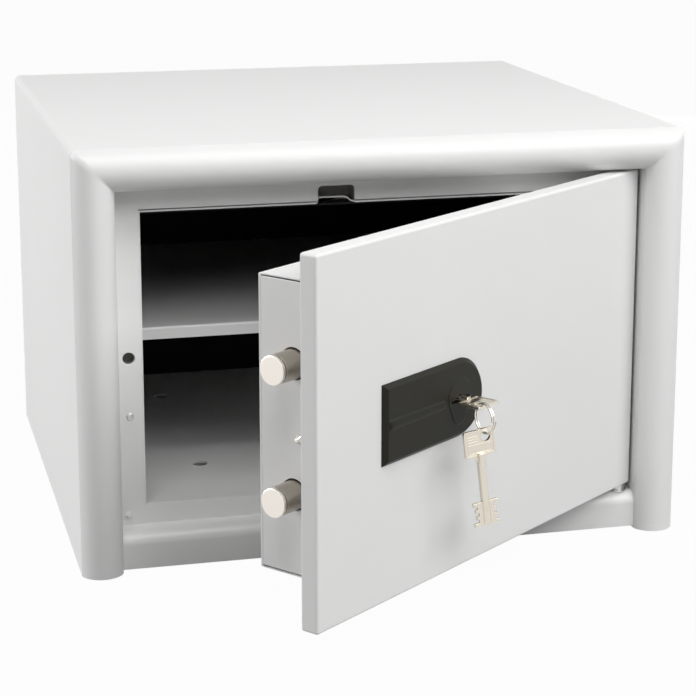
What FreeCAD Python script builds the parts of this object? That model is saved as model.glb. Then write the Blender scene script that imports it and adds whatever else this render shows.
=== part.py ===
import FreeCAD, Part
import math
import os

# Furniture safe with a hinged door, two round bolts and a double-bit key lock.
# Millimetres, +Z up, front towards -Y. The origin is the centre of the cabinet's footprint.
# The door and all that rides on it are drawn closed, then turned open about the hinge axis.

# Cabinet
cabinet_width = 468.0
cabinet_height = 320.0
cabinet_depth = 445.0
sheet = 2.0
edge_radius = 5.0
overrun = 1.0
running_fit = 0.08

# Rounded front frame: posts and rails
frame_width = 31.0
frame_bulge = 11.0
frame_wall = 2.0
rebate_depth = 24.0
rail_setback = 1.5
rail_bottom = 1.8
rail_height = 29.0
rail_round = 9.0

# Jamb: the flat frame that the bolts lock behind
jamb_sheet = 2.5
jamb_side_lip = 21.5
jamb_low_lip = 15.5
jamb_top_lip = 20.5
notch_width = 28.0
notch_height = 13.5
notch_offset = -33.5
jamb_hole_radius = 4.6
jamb_hole_drop = 3.5
jamb_screw_drop = 48.5
jamb_screw_radius = 2.0
jamb_screw_head_radius = 2.8
jamb_screw_head = 1.0
jamb_screw_length = 6.0
plug_radius = 2.9
plug_height = 1.5
plug_inset = 8.0

# Liner, fire boards and shelf
liner_sheet = 1.5
back_board = 46.0
anchor_radius = 6.0
anchor_spacing_x = 250.0
anchor_spacing_y = 200.0
shelf_top = 168.0
shelf_lip = 9.5
shelf_sheet = 1.5
shelf_setback = 50.0
shelf_side_gap = 0.5
shelf_rail_leg = 14.0
shelf_rail_sheet = 1.5

# Door leaf
door_setback = 5.0
door_free_gap = 6.0
door_hinge_gap = 4.0
door_top_gap = 2.0
door_bottom_gap = 6.0
door_thickness = 14.0
door_plate = 3.0
door_rim = 2.0
door_back_sheet = 1.5
door_edge_radius = 2.0
rest_opening = 38.1

# Hinge
hinge_inset = 6.0
hinge_pin_radius = 3.5
hinge_grip = 18.0
hinge_block_width = 15.0
hinge_bush_radius = 5.2
hinge_bush_flange = 1.2
hinge_bush_length = 9.0
washer_clearance = 0.3

# Lock box behind the door leaf
box_inset = 22.0
box_hinge_inset = 34.0
box_low_inset = 26.0
box_top_inset = 24.0
box_depth = 52.0
box_sheet = 2.0
cover_sheet = 2.0
cover_screw_radius = 2.0
cover_screw_head_radius = 4.0
cover_screw_head = 1.6
cover_screw_inset = 9.0
cover_tab = 14.0
cover_tab_depth = 8.0

# Boltwork
bolt_radius = 10.0
bolt_hole_gap = 1.0
bolt_depth = 37.0
bolt_spacing = 89.0
bolt_length = 64.0
bolt_tip = 2.6
bolt_groove = 1.1
bolt_groove_depth = 1.5
bolt_chamfer = 0.8
bolt_throw = 20.0
pocket_clearance = 1.0
guide_width = 30.0
guide_length = 13.0
bar_sheet = 4.0
bar_margin = 14.0
bar_screw_radius = 3.0
bar_screw_head_radius = 5.5
bar_screw_head = 3.0
bar_screw_length = 18.0
catch_depth = 32.5
catch_drop = 6.0
catch_radius = 3.2
catch_reach = 3.2
catch_tip_share = 0.35

# Lock
key_from_free_edge = 152.7
key_drop = 2.0
drill_plate = 3.0
case_left = 36.0
case_right = 34.0
case_below = 20.0
case_above = 42.0
case_depth = 27.0
case_sheet = 2.0
talon_gap = 2.4
talon_pin_radius = 2.5
rotor_radius = 13.0
rotor_length = 5.0
rotor_slot_depth = 2.5
talon_lost_motion = 2.6
lever_count = 7
lever_front_gap = 4.5
lever_thickness = 1.8
lever_rise = 31.0
lever_pivot_radius = 2.5
lever_pivot_rise = 24.0
lever_pivot_side = 24.0
stump_half = 2.4
stump_side = -24.0
stump_rise = 22.0
stump_clearance = 1.0
lever_spring_sheet = 0.5
case_screw_radius = 2.0
case_screw_head_radius = 3.6
case_screw_head = 1.6
case_screw_inset = 5.0
case_screw_length = 10.0
case_boss_radius = 3.8
lever_spring_start = 26.0
lever_spring_run = 18.0

# Escutcheon
plate_height = 56.0
plate_from_free_edge = 68.0
plate_thickness = 3.8
plate_bevel = 3.0
plate_round_offset = 2.4
rib_start = 5.0
rib_end = 67.0
rib_height = 7.2
rib_taper_share = 0.68
rib_rise = 1.3
boss_rise = 0.5
boss_top_radius = 13.5
boss_top_offset = 2.0
boss_low_radius = 9.0
boss_low_offset = 9.0
plate_screw_radius = 1.6
plate_screw_length = 5.5
plate_screw_inset = 14.0
plate_screw_spread = 28.0

# Keys and ring
key_slot_clearance = 0.5
key_bow_width = 23.2
key_bow_length = 19.0
key_bow_thickness = 2.2
key_bow_radius = 1.5
key_hole_radius = 3.6
key_hole_side = 4.8
key_hole_inset = 5.6
key_neck = 5.7
key_shaft_radius = 3.0
key_bit_length = 17.5
key_bit_half = 9.6
key_bit_thickness = 2.4
key_bit_shares = (1.0, 0.66, 0.86, 0.58, 0.78, 0.62, 1.0)
ring_radius = 10.5
ring_wire = 1.1
ring_pitch = 1.6
ring_turns = 2
ring_clearance = 1.5
ring_side = 7.5
ring_yaw = -110.0
spare_yaw = -28.0
spare_lean = 7.0

# Places that follow from the sizes above
half_width = cabinet_width / 2
front_y = -cabinet_depth / 2
back_y = cabinet_depth / 2
shell_front = front_y + frame_bulge
jamb_front = shell_front + rebate_depth
jamb_back = jamb_front + jamb_sheet
inner_half = half_width - sheet
frame_inner = half_width - frame_width
opening_half = frame_inner - jamb_side_lip
opening_bottom = rail_height + jamb_low_lip
opening_top = cabinet_height - frame_width - jamb_top_lip
notch_left = notch_offset - notch_width / 2
notch_right = notch_left + notch_width
notch_top = opening_top + notch_height
strip_x = -(frame_inner + opening_half) / 2
liner_half = opening_half + liner_sheet
liner_back = back_y - sheet - back_board

door_front = shell_front + door_setback
door_back = door_front + door_thickness
door_free = -frame_inner + door_free_gap
door_hinge = frame_inner - door_hinge_gap
door_bottom = rail_height + door_bottom_gap
door_top = cabinet_height - frame_width - door_top_gap
hinge_x = door_hinge - hinge_inset
hinge_y = door_front + door_thickness / 2
hinge_hole = hinge_pin_radius + running_fit

box_left = door_free + box_inset
box_right = door_hinge - box_hinge_inset
box_bottom = door_bottom + box_low_inset
box_top = door_top - box_top_inset
box_middle = (box_bottom + box_top) / 2
jamb_hole_height = box_middle - jamb_hole_drop
jamb_screw_height = box_middle - jamb_screw_drop
box_back = door_back + box_depth

bolt_y = door_front + bolt_depth
bolt_heights = (box_middle - bolt_spacing / 2, box_middle + bolt_spacing / 2)
bar_left = door_free + bolt_length

key_x = door_free + key_from_free_edge
key_height = box_middle - key_drop
case_front = door_back + drill_plate
case_back = case_front + case_depth
talon_front = case_back + talon_gap
talon_back = talon_front + bar_sheet
crank_radius = bolt_throw / 2

X = FreeCAD.Vector(1, 0, 0)
Y = FreeCAD.Vector(0, 1, 0)
Z = FreeCAD.Vector(0, 0, 1)
parts = {}


def point(x, y, z):
    return FreeCAD.Vector(x, y, z)


def block(x0, x1, y0, y1, z0, z1):
    return Part.makeBox(x1 - x0, y1 - y0, z1 - z0, point(x0, y0, z0))


def rod(radius, start, length, axis):
    return Part.makeCylinder(radius, length, start, axis)


def outline(corners):
    return Part.Face(Part.makePolygon(corners + corners[:1]))


def arch(half, top, radius):
    """A flat sheet standing in XZ at y = 0, with its two top corners rounded."""
    lean = radius * math.sqrt(0.5)
    left = point(-half, 0, top - radius)
    right = point(half, 0, top - radius)
    left_top = point(-half + radius, 0, top)
    right_top = point(half - radius, 0, top)
    bend_left = point(-half + radius - lean, 0, top - radius + lean)
    bend_right = point(half - radius + lean, 0, top - radius + lean)
    edges = [
        Part.LineSegment(point(-half, 0, 0), left).toShape(),
        Part.Arc(left, bend_left, left_top).toShape(),
        Part.LineSegment(left_top, right_top).toShape(),
        Part.Arc(right_top, bend_right, right).toShape(),
        Part.LineSegment(right, point(half, 0, 0)).toShape(),
        Part.LineSegment(point(half, 0, 0), point(-half, 0, 0)).toShape(),
    ]
    return Part.Face(Part.Wire(edges))


# Outer casing: one sheet wrapped over the top and both sides, a back and a base
def make_casing():
    length = back_y - shell_front
    outer = arch(half_width, cabinet_height, edge_radius).extrude(Y * length)
    inner = arch(inner_half, cabinet_height - sheet, edge_radius - sheet).extrude(Y * length)
    wrap = outer.cut(inner)
    wrap.translate(point(0, shell_front, 0))
    parts["outer_shell"] = wrap
    back = arch(inner_half, cabinet_height - sheet, edge_radius - sheet).extrude(Y * sheet)
    back.translate(point(0, back_y - sheet, 0))
    parts["back_panel"] = back
    parts["base_plate"] = drilled(block(-inner_half, inner_half, jamb_back, back_y - sheet, 0, sheet))


def drilled(plate):
    """Cuts the four floor anchor holes through a level plate or board."""
    for side in (-1, 1):
        for end in (-1, 1):
            start = point(side * anchor_spacing_x / 2, end * anchor_spacing_y / 2, -overrun)
            plate = plate.cut(rod(anchor_radius, start, opening_bottom + 2 * overrun, Z))
    return plate


# Front frame: hollow half-round posts and top rail, mitred at the upper corners
def frame_section():
    """Section of a frame bar with its void: x runs across its width from the outer edge, y is depth."""
    half = frame_width / 2
    radius = (half**2 + frame_bulge**2) / (2 * frame_bulge)
    centre = front_y + radius
    outer = [
        point(frame_width, shell_front, 0),
        point(frame_width, jamb_front, 0),
        point(sheet, jamb_front, 0),
        point(sheet, shell_front, 0),
        point(0, shell_front, 0),
    ]
    void_radius = radius - frame_wall
    left = sheet + frame_wall
    right = frame_width - frame_wall
    left_nose = centre - math.sqrt(void_radius**2 - (half - left) ** 2)
    right_nose = centre - math.sqrt(void_radius**2 - (half - right) ** 2)
    inner = [
        point(right, right_nose, 0),
        point(right, jamb_front, 0),
        point(left, jamb_front, 0),
        point(left, left_nose, 0),
    ]
    faces = []
    for corners, nose in ((outer, front_y), (inner, front_y + frame_wall)):
        edges = [Part.Arc(corners[-1], point(half, nose, 0), corners[0]).toShape()]
        edges += [Part.LineSegment(a, b).toShape() for a, b in zip(corners, corners[1:])]
        faces.append(Part.Face(Part.Wire(edges)))
    return faces[0].cut(faces[1]).Faces[0]


def make_front_frame():
    bar = frame_section()
    lower_edge = cabinet_height - frame_width
    nose = arch(half_width, cabinet_height, edge_radius).extrude(Y * frame_bulge)
    nose.translate(point(0, front_y, 0))
    tail = arch(inner_half, cabinet_height - sheet, edge_radius - sheet).extrude(Y * rebate_depth)
    tail.translate(point(0, shell_front, 0))
    silhouette = nose.fuse(tail)

    post = bar.extrude(Z * cabinet_height)
    corner = outline([
        point(0, front_y, cabinet_height),
        point(frame_width, front_y, cabinet_height),
        point(frame_width, front_y, lower_edge),
    ]).extrude(Y * cabinet_depth)
    post = post.cut(corner)
    post.translate(point(-half_width, 0, 0))
    parts["left_post"] = post.common(silhouette)
    parts["right_post"] = parts["left_post"].mirror(point(0, 0, 0), X)

    rail = bar.copy()
    rail.rotate(point(0, 0, 0), Y, 90)
    rail = rail.extrude(X * cabinet_width)
    rail.translate(point(-half_width, 0, cabinet_height))
    trapezoid = outline([
        point(-half_width, front_y, cabinet_height),
        point(half_width, front_y, cabinet_height),
        point(frame_inner, front_y, lower_edge),
        point(-frame_inner, front_y, lower_edge),
    ]).extrude(Y * cabinet_depth)
    rail = rail.common(trapezoid).common(silhouette)
    start = point(hinge_x, hinge_y, lower_edge - overrun)
    parts["top_rail"] = rail.cut(rod(hinge_bush_radius, start, frame_wall + 2 * overrun, Z))


# Bottom rail: a bent sheet with a rounded top edge, set back between the posts
def rail_section(inset):
    face = shell_front + rail_setback + inset
    top = rail_height - inset
    radius = rail_round - inset
    lean = radius * (1 - math.sqrt(0.5))
    low = point(0, face, rail_bottom)
    bend = point(0, face, top - radius)
    crown = point(0, face + radius, top)
    rear = point(0, jamb_front, top)
    foot = point(0, jamb_front, rail_bottom)
    edges = [
        Part.LineSegment(low, bend).toShape(),
        Part.Arc(bend, point(0, face + lean, top - lean), crown).toShape(),
        Part.LineSegment(crown, rear).toShape(),
        Part.LineSegment(rear, foot).toShape(),
        Part.LineSegment(foot, low).toShape(),
    ]
    return Part.Face(Part.Wire(edges))


def make_bottom_rail():
    sheet_only = rail_section(0).cut(rail_section(frame_wall)).Faces[0]
    rail = sheet_only.extrude(X * (2 * frame_inner))
    rail.translate(point(-frame_inner, 0, 0))
    start = point(hinge_x, hinge_y, rail_height + overrun)
    parts["bottom_rail"] = rail.cut(rod(hinge_bush_radius, start, frame_wall + 2 * overrun, -Z))


# Jamb: flat plate behind the frame, with the door opening, a notch and two small holes
def make_jamb():
    plate = arch(inner_half, cabinet_height - sheet, edge_radius - sheet).extrude(Y * jamb_sheet)
    plate.translate(point(0, jamb_front, 0))
    through = (jamb_front - overrun, jamb_back + overrun)
    plate = plate.cut(block(-opening_half, opening_half, *through, opening_bottom, opening_top))
    plate = plate.cut(block(notch_left, notch_right, *through, opening_top - overrun, notch_top))
    depth = jamb_sheet + 2 * overrun
    for radius, height in ((jamb_hole_radius, jamb_hole_height), (jamb_screw_radius, jamb_screw_height)):
        plate = plate.cut(rod(radius, point(strip_x, through[0], height), depth, Y))
    parts["jamb_frame"] = plate
    head = rod(jamb_screw_head_radius, point(strip_x, jamb_front, jamb_screw_height), jamb_screw_head, -Y)
    shank = rod(jamb_screw_radius, point(strip_x, jamb_front, jamb_screw_height), jamb_screw_length, Y)
    parts["jamb_screw"] = head.fuse(shank).removeSplitter()
    middle = (rail_height + opening_bottom) / 2
    corner_x = frame_inner - plug_inset
    plugs = [rod(plug_radius, point(x, jamb_front, middle), plug_height, -Y) for x in (-corner_x, corner_x)]
    parts["jamb_plugs"] = Part.makeCompound(plugs)


# Liner sheets and the fire boards between them and the casing
def make_walls():
    front = jamb_back
    roof = opening_top - liner_sheet
    floor = opening_bottom - liner_sheet
    low_sheet = block(-opening_half, opening_half, front, liner_back, floor, opening_bottom)
    parts["liner_floor"] = drilled(low_sheet)
    parts["liner_roof"] = block(-opening_half, opening_half, front, liner_back, roof, opening_top)
    left = block(-liner_half, -opening_half, front, liner_back, floor, opening_top)
    parts["liner_right"] = block(opening_half, liner_half, front, liner_back, floor, opening_top)
    board_front = liner_back + liner_sheet
    parts["liner_back"] = block(-liner_half, liner_half, liner_back, board_front, floor, opening_top)

    rear = back_y - sheet
    board = block(-inner_half, -liner_half, front, rear, sheet, opening_top)
    parts["board_right"] = board.mirror(point(0, 0, 0), X)
    pocket = bolt_radius + pocket_clearance
    tip = door_free - pocket_clearance
    for height in bolt_heights:
        left = left.cut(rod(pocket, point(tip, bolt_y, height), liner_half + half_width, X))
        room = block(tip, -liner_half, bolt_y - pocket, bolt_y + pocket, height - pocket, height + pocket)
        board = board.cut(room)
    screw_room = jamb_screw_length + pocket_clearance
    for radius, height in ((jamb_hole_radius, jamb_hole_height), (jamb_screw_radius, jamb_screw_height)):
        board = board.cut(rod(radius, point(strip_x, front, height), screw_room, Y))
    parts["liner_left"] = left
    parts["board_left"] = board
    roof_half = half_width - edge_radius
    top = block(-roof_half, roof_half, front, rear, opening_top, cabinet_height - sheet)
    recess = block(notch_left, notch_right, front, front + notch_height, opening_top, notch_top)
    parts["board_top"] = top.cut(recess)
    parts["board_base"] = drilled(block(-liner_half, liner_half, front, rear, sheet, floor))
    parts["board_back"] = block(-liner_half, liner_half, board_front, rear, floor, opening_top)


# Shelf: a folded tray that lifts off two angle rails
def make_shelf():
    front = jamb_back + shelf_setback
    half = opening_half - shelf_side_gap
    tray = block(-half, half, front, liner_back - shelf_side_gap, shelf_top - shelf_lip, shelf_top)
    hollow = block(
        -half - overrun, half + overrun, front + shelf_sheet, liner_back - shelf_side_gap - shelf_sheet,
        shelf_top - shelf_lip - overrun, shelf_top - shelf_sheet,
    )
    parts["shelf"] = tray.cut(hollow)
    rail_top = shelf_top - shelf_sheet
    rail_front = front + shelf_sheet + shelf_side_gap
    rail_rear = liner_back - shelf_sheet - 2 * shelf_side_gap
    outer = -opening_half
    leg = block(outer, outer + shelf_rail_sheet, rail_front, rail_rear, rail_top - shelf_rail_leg, rail_top)
    ledge = block(outer, outer + shelf_rail_leg, rail_front, rail_rear, rail_top - shelf_rail_sheet, rail_top)
    rail = leg.fuse(ledge).removeSplitter()
    parts["shelf_rails"] = Part.makeCompound([rail, rail.mirror(point(0, 0, 0), X)])


# Hinge: pins in the door turn in flanged bushes let into the two rails
def make_hinge():
    lower_edge = cabinet_height - frame_width
    bushes = []
    for seat, out in ((lower_edge, Z), (rail_height, -Z)):
        start = point(hinge_x, hinge_y, seat)
        sleeve = rod(hinge_bush_radius, start, hinge_bush_length, out)
        flange = rod(hinge_bush_radius + hinge_bush_flange, start, hinge_bush_flange, -out)
        bush = sleeve.fuse(flange)
        bore = rod(hinge_hole, start - out * cabinet_height, 2 * cabinet_height, out)
        bushes.append(bush.cut(bore).removeSplitter())
    parts["hinge_bushes"] = Part.makeCompound(bushes)
    flange_top = rail_height + hinge_bush_flange
    stack = door_bottom - washer_clearance - flange_top
    washer = rod(hinge_bush_radius, point(hinge_x, hinge_y, flange_top), stack, Z)
    parts["hinge_washer"] = washer.cut(rod(hinge_hole, point(hinge_x, hinge_y, flange_top), stack, Z))


make_casing()
make_front_frame()
make_bottom_rail()
make_jamb()
make_walls()
make_shelf()
make_hinge()


# Door leaf: a shallow pan with a fire board and a backing sheet, hung on two pins
def keyhole(y0, y1):
    """The cut that lets the key's shaft and bit through a plate."""
    half = key_bit_half + key_slot_clearance
    rise = key_bit_thickness / 2 + key_slot_clearance
    slot = block(key_x - half, key_x + half, y0, y1, key_height - rise, key_height + rise)
    return slot.fuse(rod(key_shaft_radius + key_slot_clearance, point(key_x, y0, key_height), y1 - y0, Y))


def make_leaf():
    backing = door_back - door_back_sheet
    through = keyhole(door_front - overrun, door_back + overrun)
    pan = block(door_free, door_hinge, door_front, backing, door_bottom, door_top)
    front_edges = [e for e in pan.Edges if all(abs(v.Y - door_front) < running_fit for v in e.Vertexes)]
    pan = pan.makeFillet(door_edge_radius, front_edges)
    left, right = door_free + door_rim, door_hinge - door_rim
    low, high = door_bottom + door_rim, door_top - door_rim
    face = door_front + door_plate
    pan = pan.cut(block(left, right, face, backing + overrun, low, high)).cut(through)
    for at in plate_screw_places(door_front):
        pan = pan.cut(rod(plate_screw_radius + running_fit, at, door_plate, Y))
    pan = pan.cut(rod(hinge_hole, point(hinge_x, hinge_y, door_bottom - overrun), cabinet_height, Z))
    parts["door_panel"] = pan
    block_left = right - hinge_block_width
    board = block(left, block_left, face, backing, low, high).cut(through)
    parts["door_board"] = board
    back_sheet = block(door_free, door_hinge, backing, door_back, door_bottom, door_top)
    parts["door_backing"] = back_sheet.cut(through)

    bore = rod(hinge_hole, point(hinge_x, hinge_y, 0), cabinet_height, Z)
    blocks = [
        block(block_left, right, face, backing, high - hinge_grip, high).cut(bore),
        block(block_left, right, face, backing, low, low + hinge_grip).cut(bore),
    ]
    parts["hinge_blocks"] = Part.makeCompound(blocks)
    top_end = cabinet_height - frame_width + hinge_bush_length
    low_end = rail_height - hinge_bush_length
    pins = [
        rod(hinge_pin_radius, point(hinge_x, hinge_y, high - hinge_grip), top_end - high + hinge_grip, Z),
        rod(hinge_pin_radius, point(hinge_x, hinge_y, low_end), low + hinge_grip - low_end, Z),
    ]
    parts["hinge_pins"] = Part.makeCompound(pins)


# Lock box: a welded sheet frame on the back of the leaf, closed by a screwed cover
def make_box():
    rear = box_back - cover_sheet
    shell = block(box_left, box_right, door_back, rear, box_bottom, box_top)
    inside = (box_left + box_sheet, box_right - box_sheet, box_bottom + box_sheet, box_top - box_sheet)
    room = block(inside[0], inside[1], door_back - overrun, rear + overrun, inside[2], inside[3])
    shell = shell.cut(room)
    tab_front = rear - cover_tab_depth
    screws = []
    cover = block(box_left, box_right, rear, box_back, box_bottom, box_top)
    for x0, x1, x in (
        (inside[0], inside[0] + cover_tab, box_left + cover_screw_inset),
        (inside[1] - cover_tab, inside[1], box_right - cover_screw_inset),
    ):
        for z0, z1, z in (
            (inside[2], inside[2] + cover_tab, box_bottom + cover_screw_inset),
            (inside[3] - cover_tab, inside[3], box_top - cover_screw_inset),
        ):
            start = point(x, tab_front, z)
            hole = rod(cover_screw_radius + running_fit, start, cover_tab_depth + cover_sheet, Y)
            shell = shell.fuse(block(x0, x1, tab_front, rear, z0, z1)).cut(hole)
            cover = cover.cut(hole)
            shank = rod(cover_screw_radius, start, cover_tab_depth + cover_sheet, Y)
            head = rod(cover_screw_head_radius, point(x, box_back, z), cover_screw_head, Y)
            screws.append(shank.fuse(head).removeSplitter())
    wall = (box_left - overrun, box_sheet + 2 * overrun)
    guides = []
    for height in bolt_heights:
        shell = shell.cut(rod(bolt_radius + bolt_hole_gap, point(wall[0], bolt_y, height), wall[1], X))
        half = guide_width / 2
        guide = block(
            inside[0], inside[0] + guide_length, bolt_y - half, bolt_y + half, height - half, height + half
        )
        bore = rod(bolt_radius + running_fit, point(wall[0], bolt_y, height), bolt_length, X)
        guides.append(guide.cut(bore))
    catch_at = point(box_left, door_front + catch_depth, box_middle - catch_drop)
    shell = shell.cut(rod(catch_radius + running_fit, catch_at - X * overrun, wall[1], X))
    parts["lock_box"] = shell.removeSplitter()
    parts["box_cover"] = cover
    parts["cover_screws"] = Part.makeCompound(screws)
    parts["bolt_guides"] = Part.makeCompound(guides)
    stem = rod(catch_radius, catch_at, box_sheet, X)
    cone = Part.makeCone(catch_radius, catch_radius * catch_tip_share, catch_reach, catch_at, -X)
    parts["catch_pin"] = stem.fuse(cone).removeSplitter()


# Boltwork: two round bolts screwed to a bent bar that the lock's crank pin drives
def make_boltwork():
    screws = []
    low, high = bolt_heights
    web = block(
        bar_left, bar_left + bar_sheet, bolt_y - bolt_radius, talon_back, low - bar_margin, high + bar_margin
    )
    for name, height in (("lower_bolt", low), ("upper_bolt", high)):
        start = point(door_free, bolt_y, height)
        tip = Part.makeCone(bolt_radius - bolt_chamfer, bolt_radius, bolt_chamfer, start, X)
        body = rod(bolt_radius, start + X * bolt_chamfer, bolt_length - bolt_chamfer, X)
        body = body.fuse(tip).removeSplitter()
        groove = rod(bolt_radius + overrun, start + X * bolt_tip, bolt_groove, X)
        groove = groove.cut(rod(bolt_radius - bolt_groove_depth, start + X * bolt_tip, bolt_groove, X))
        tail = point(bar_left + bar_sheet, bolt_y, height)
        hole = rod(bar_screw_radius + running_fit, tail, bar_screw_length, -X)
        parts[name] = body.cut(groove).cut(hole)
        web = web.cut(hole)
        shank = rod(bar_screw_radius, tail, bar_screw_length, -X)
        head = rod(bar_screw_head_radius, tail, bar_screw_head, X)
        screws.append(shank.fuse(head).removeSplitter())
    parts["bolt_screws"] = Part.makeCompound(screws)
    talon_x = key_x - crank_radius
    half = talon_pin_radius + talon_lost_motion
    reach = crank_radius + half
    arm_low = key_height - reach - bar_sheet
    arm_high = key_height + stump_rise + stump_half + bar_sheet
    arm = block(bar_left, talon_x + half + bar_margin, talon_front, talon_back, arm_low, arm_high)
    slot_depth = (talon_front - overrun, talon_back + overrun)
    arm = arm.cut(block(talon_x - half, talon_x + half, *slot_depth, key_height - reach, key_height + reach))
    stump_x = key_x + stump_side
    stump_z = key_height + stump_rise
    stump_front = case_front + case_sheet + stump_clearance
    stump = block(
        stump_x - stump_half, stump_x + stump_half, stump_front, talon_front,
        stump_z - stump_half, stump_z + stump_half,
    )
    parts["bolt_bar"] = web.fuse(arm).fuse(stump).removeSplitter()


# Lock: a case screwed over a drill plate, with levers, their pivot and springs, and the rotor
def stump_window(y0, y1):
    half = stump_half + stump_clearance
    x = key_x + stump_side
    z = key_height + stump_rise
    return block(x - half, x + bolt_throw + half, y0, y1, z - half, z + half)


def make_lock():
    left, right = key_x - case_left, key_x + case_right
    low, high = key_height - case_below, key_height + case_above
    through = keyhole(door_back - overrun, case_front + case_sheet + overrun)
    parts["drill_plate"] = block(left, right, door_back, case_front, low, high).cut(through)
    cover_front = case_back - case_sheet
    case = block(left, right, case_front, cover_front, low, high)
    floor = case_front + case_sheet
    case = case.cut(block(
        left + case_sheet, right - case_sheet, floor, case_back, low + case_sheet, high - case_sheet
    )).cut(through)
    rotor_front = case_back - rotor_length
    rotor_axis = point(key_x, rotor_front, key_height)
    cover = block(left, right, cover_front, case_back, low, high)
    cover = cover.cut(rod(rotor_radius + running_fit, rotor_axis, rotor_length, Y))
    cover = cover.cut(stump_window(cover_front, case_back))
    screws = []
    for x in (left + case_screw_inset, right - case_screw_inset):
        for z in (low + case_screw_inset, high - case_screw_inset):
            case = case.fuse(rod(case_boss_radius, point(x, floor, z), cover_front - floor, Y))
            hole = rod(case_screw_radius + running_fit, point(x, case_back, z), case_screw_length, -Y)
            case = case.cut(hole)
            cover = cover.cut(hole)
            shank = rod(case_screw_radius, point(x, case_back, z), case_screw_length, -Y)
            head = rod(case_screw_head_radius, point(x, case_back, z), case_screw_head, Y)
            screws.append(shank.fuse(head).removeSplitter())
    parts["lock_case"] = case.removeSplitter()
    parts["lock_cover"] = cover
    parts["case_screws"] = Part.makeCompound(screws)

    rotor = rod(rotor_radius, rotor_axis, rotor_length, Y)
    half = key_bit_half + key_slot_clearance
    rise = key_bit_thickness / 2 + key_slot_clearance
    rotor = rotor.cut(block(
        key_x - half, key_x + half, rotor_front, rotor_front + rotor_slot_depth,
        key_height - rise, key_height + rise,
    ))
    rotor = rotor.cut(rod(key_shaft_radius + key_slot_clearance, rotor_axis, rotor_slot_depth, Y))
    crank_at = point(key_x - crank_radius, case_back, key_height)
    crank_pin = rod(talon_pin_radius, crank_at, talon_back - case_back, Y)
    parts["lock_rotor"] = rotor.fuse(crank_pin).removeSplitter()

    pivot = point(key_x + lever_pivot_side, floor, key_height + lever_pivot_rise)
    parts["lever_pivot"] = rod(lever_pivot_radius, pivot, cover_front - floor, Y)
    first = floor + lever_front_gap
    pitch = (rotor_front - first) / lever_count
    sweep = key_bit_half + stump_clearance
    top = key_height + lever_rise
    roof = high - case_sheet
    levers, springs = [], []
    for n in range(lever_count):
        y = first + n * pitch + (pitch - lever_thickness) / 2
        plate = block(
            left + case_sheet + stump_clearance, right - case_sheet - stump_clearance, y, y + lever_thickness,
            key_height + key_shaft_radius, top,
        )
        plate = plate.cut(rod(sweep, point(key_x, y, key_height), lever_thickness, Y))
        plate = plate.cut(stump_window(y, y + lever_thickness))
        hole_at = point(pivot.x, y, pivot.z)
        plate = plate.cut(rod(lever_pivot_radius + running_fit, hole_at, lever_thickness, Y))
        levers += plate.Solids
        start = key_x - lever_spring_start
        end = start + lever_spring_run
        leaf = outline([
            point(start, y, top), point(end, y, roof - lever_spring_sheet),
            point(end, y, roof), point(start, y, top + lever_spring_sheet),
        ])
        springs.append(leaf.extrude(Y * lever_thickness))
    parts["levers"] = Part.makeCompound(levers)
    parts["lever_springs"] = Part.makeCompound(springs)


# Escutcheon: a bevelled plate, square at one end and half-round at the keyhole end
def plate_screw_places(y):
    x = door_free + plate_from_free_edge + plate_screw_inset
    return [point(x, y, key_height + side * plate_screw_spread / 2) for side in (-1, 1)]


def make_escutcheon():
    left = door_free + plate_from_free_edge
    radius = plate_height / 2
    low, high = key_height - radius, key_height + radius
    front = door_front - plate_thickness
    round_x = key_x + plate_round_offset
    corners = [
        point(round_x, front, high),
        point(left, front, high),
        point(left, front, low),
        point(round_x, front, low),
    ]
    edges = [Part.LineSegment(a, b).toShape() for a, b in zip(corners, corners[1:])]
    edges.append(Part.Arc(corners[-1], point(round_x + radius, front, key_height), corners[0]).toShape())
    plate = Part.Face(Part.Wire(edges)).extrude(Y * plate_thickness)
    rim = [e for e in plate.Edges if all(abs(v.Y - front) < running_fit for v in e.Vertexes)]
    plate = plate.makeChamfer(plate_bevel, rim)
    rib_half = rib_height / 2
    rib_tip = rib_half * rib_taper_share
    rib = outline([
        point(left + rib_start, front, key_height + rib_half),
        point(left + rib_start, front, key_height - rib_half),
        point(left + rib_end, front, key_height - rib_tip),
        point(left + rib_end, front, key_height + rib_tip),
    ]).extrude(-Y * rib_rise)
    top_z = key_height + boss_top_offset
    low_z = key_height - boss_low_offset
    lean = math.asin((boss_top_radius - boss_low_radius) / (top_z - low_z))
    tangents = [(top_z, boss_top_radius), (low_z, boss_low_radius)]
    flank = [point(key_x + r * math.cos(lean), front, z - r * math.sin(lean)) for z, r in tangents]
    mirror = [point(2 * key_x - p.x, front, p.z) for p in reversed(flank)]
    boss = outline(flank + mirror).extrude(-Y * boss_rise)
    for z, r in tangents:
        boss = boss.fuse(rod(r, point(key_x, front, z), boss_rise, -Y))
    plate = plate.fuse(rib).fuse(boss)
    plate = plate.cut(keyhole(front - rib_rise - overrun, door_front + overrun))
    depth = plate_screw_length - door_plate
    for at in plate_screw_places(door_front):
        plate = plate.cut(rod(plate_screw_radius + running_fit, at, depth, -Y))
    parts["escutcheon"] = plate.removeSplitter()
    places = plate_screw_places(door_front + door_plate)
    screws = [rod(plate_screw_radius, at, plate_screw_length, -Y) for at in places]
    parts["escutcheon_screws"] = Part.makeCompound(screws)


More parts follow.
